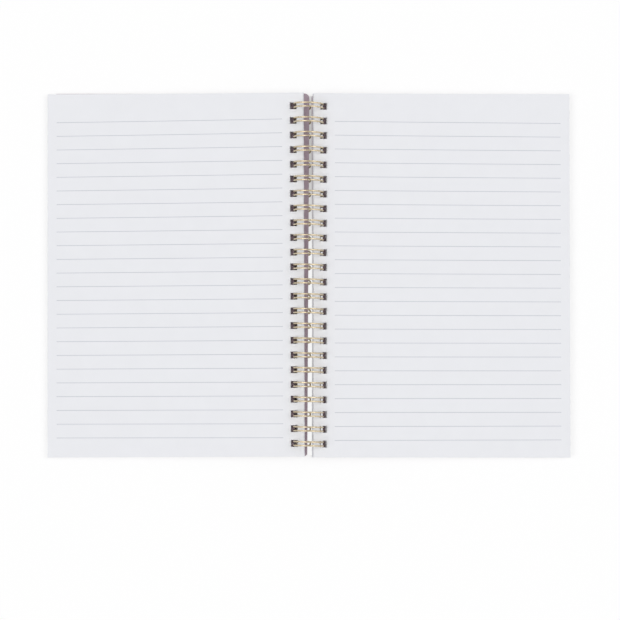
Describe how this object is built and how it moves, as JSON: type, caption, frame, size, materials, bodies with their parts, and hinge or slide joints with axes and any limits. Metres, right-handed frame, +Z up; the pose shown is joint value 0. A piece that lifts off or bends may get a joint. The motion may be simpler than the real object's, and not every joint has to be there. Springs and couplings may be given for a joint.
{
  "type": "open spiral notebook",
  "caption": "Ruled notebook lying open, its white pages and board covers hung on a gold twin-loop wire so that every leaf turns right over.",
  "frame": {"origin": "on the table under the ring's axis, half way along the spine: the middle of the bounding box's base", "axes": "+X across the open pages to the right, +Y along the spine to the heads of the pages, +Z up from the table"},
  "size_m": [0.3018, 0.2106, 0.018],
  "materials": {
    "wire": "bright pale gold plating",
    "cover_board": "matt plum-coloured board",
    "paper": "smooth uncoated white writing paper"
  },
  "bodies": {
    "back": {"back_cover": "cover_board", "wire_binding": "wire"},
    "front": {"front_cover": "cover_board"},
    "left_leaves": {"left_pages": "paper"},
    "right_leaves": {"right_pages": "paper"}
  },
  "joints": [
    {"name": "front_cover_turn", "type": "hinge", "parent": "back", "child": "front", "pos_m": [0, 0, 0.00895], "axis": [0, 1, 0], "range_deg": [0, 182]},
    {"name": "left_pages_turn", "type": "hinge", "parent": "front", "child": "left_leaves", "pos_m": [0, 0, 0.00895], "axis": [0, 1, 0], "range_deg": [0, 180]},
    {"name": "right_pages_turn", "type": "hinge", "parent": "back", "child": "right_leaves", "pos_m": [0, 0, 0.00895], "axis": [0, 1, 0], "range_deg": [-180, 0]}
  ]
}
